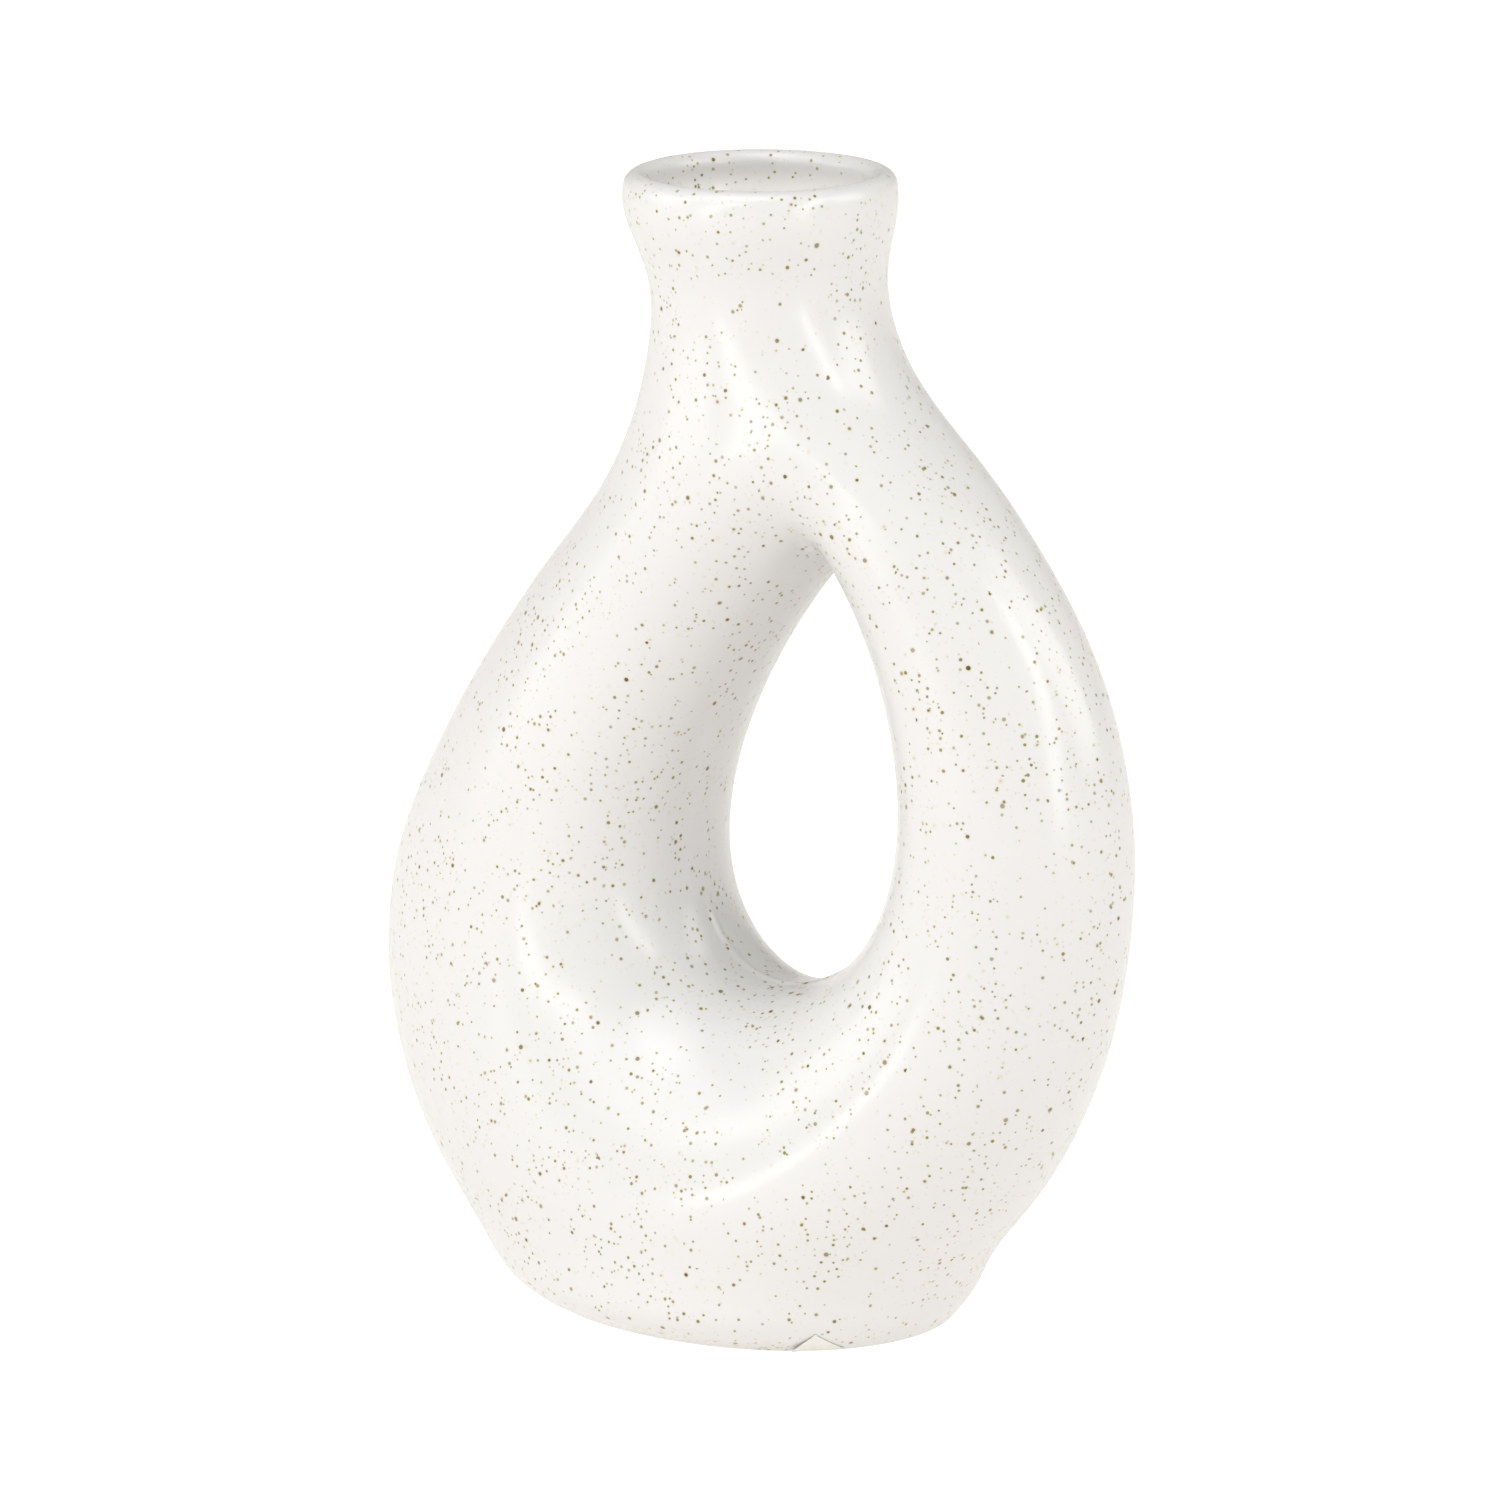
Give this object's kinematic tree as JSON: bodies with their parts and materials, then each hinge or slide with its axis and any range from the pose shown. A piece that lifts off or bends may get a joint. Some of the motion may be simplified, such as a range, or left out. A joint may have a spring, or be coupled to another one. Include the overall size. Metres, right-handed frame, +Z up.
{
  "type": "stoneware pottery vase",
  "caption": "Free-standing ring vase in speckled white stoneware, with an off-centre teardrop opening through the body, a short flared neck and a flat foot.",
  "frame": {"origin": "bottom centre of the bounding box, on the surface that the vase stands on", "axes": "+Z up through the mouth; X across the width of the vase, with the wide limb and the lean of the neck on -X; Y through the opening, front face on -Y; the vase is the same on both sides of the plane Y = 0"},
  "size_m": [0.1648, 0.0846, 0.2254],
  "materials": {
    "stoneware": "matte",
    "slip": "matte",
    "glaze": "satin",
    "paper": "matte"
  },
  "bodies": {
    "root": {"front_shell": "stoneware", "rear_shell": "stoneware", "seam_luting": "slip", "base_slab": "stoneware", "base_luting": "slip", "outer_glaze": "glaze", "liner_glaze": "glaze", "base_label": "paper"}
  },
  "joints": []
}
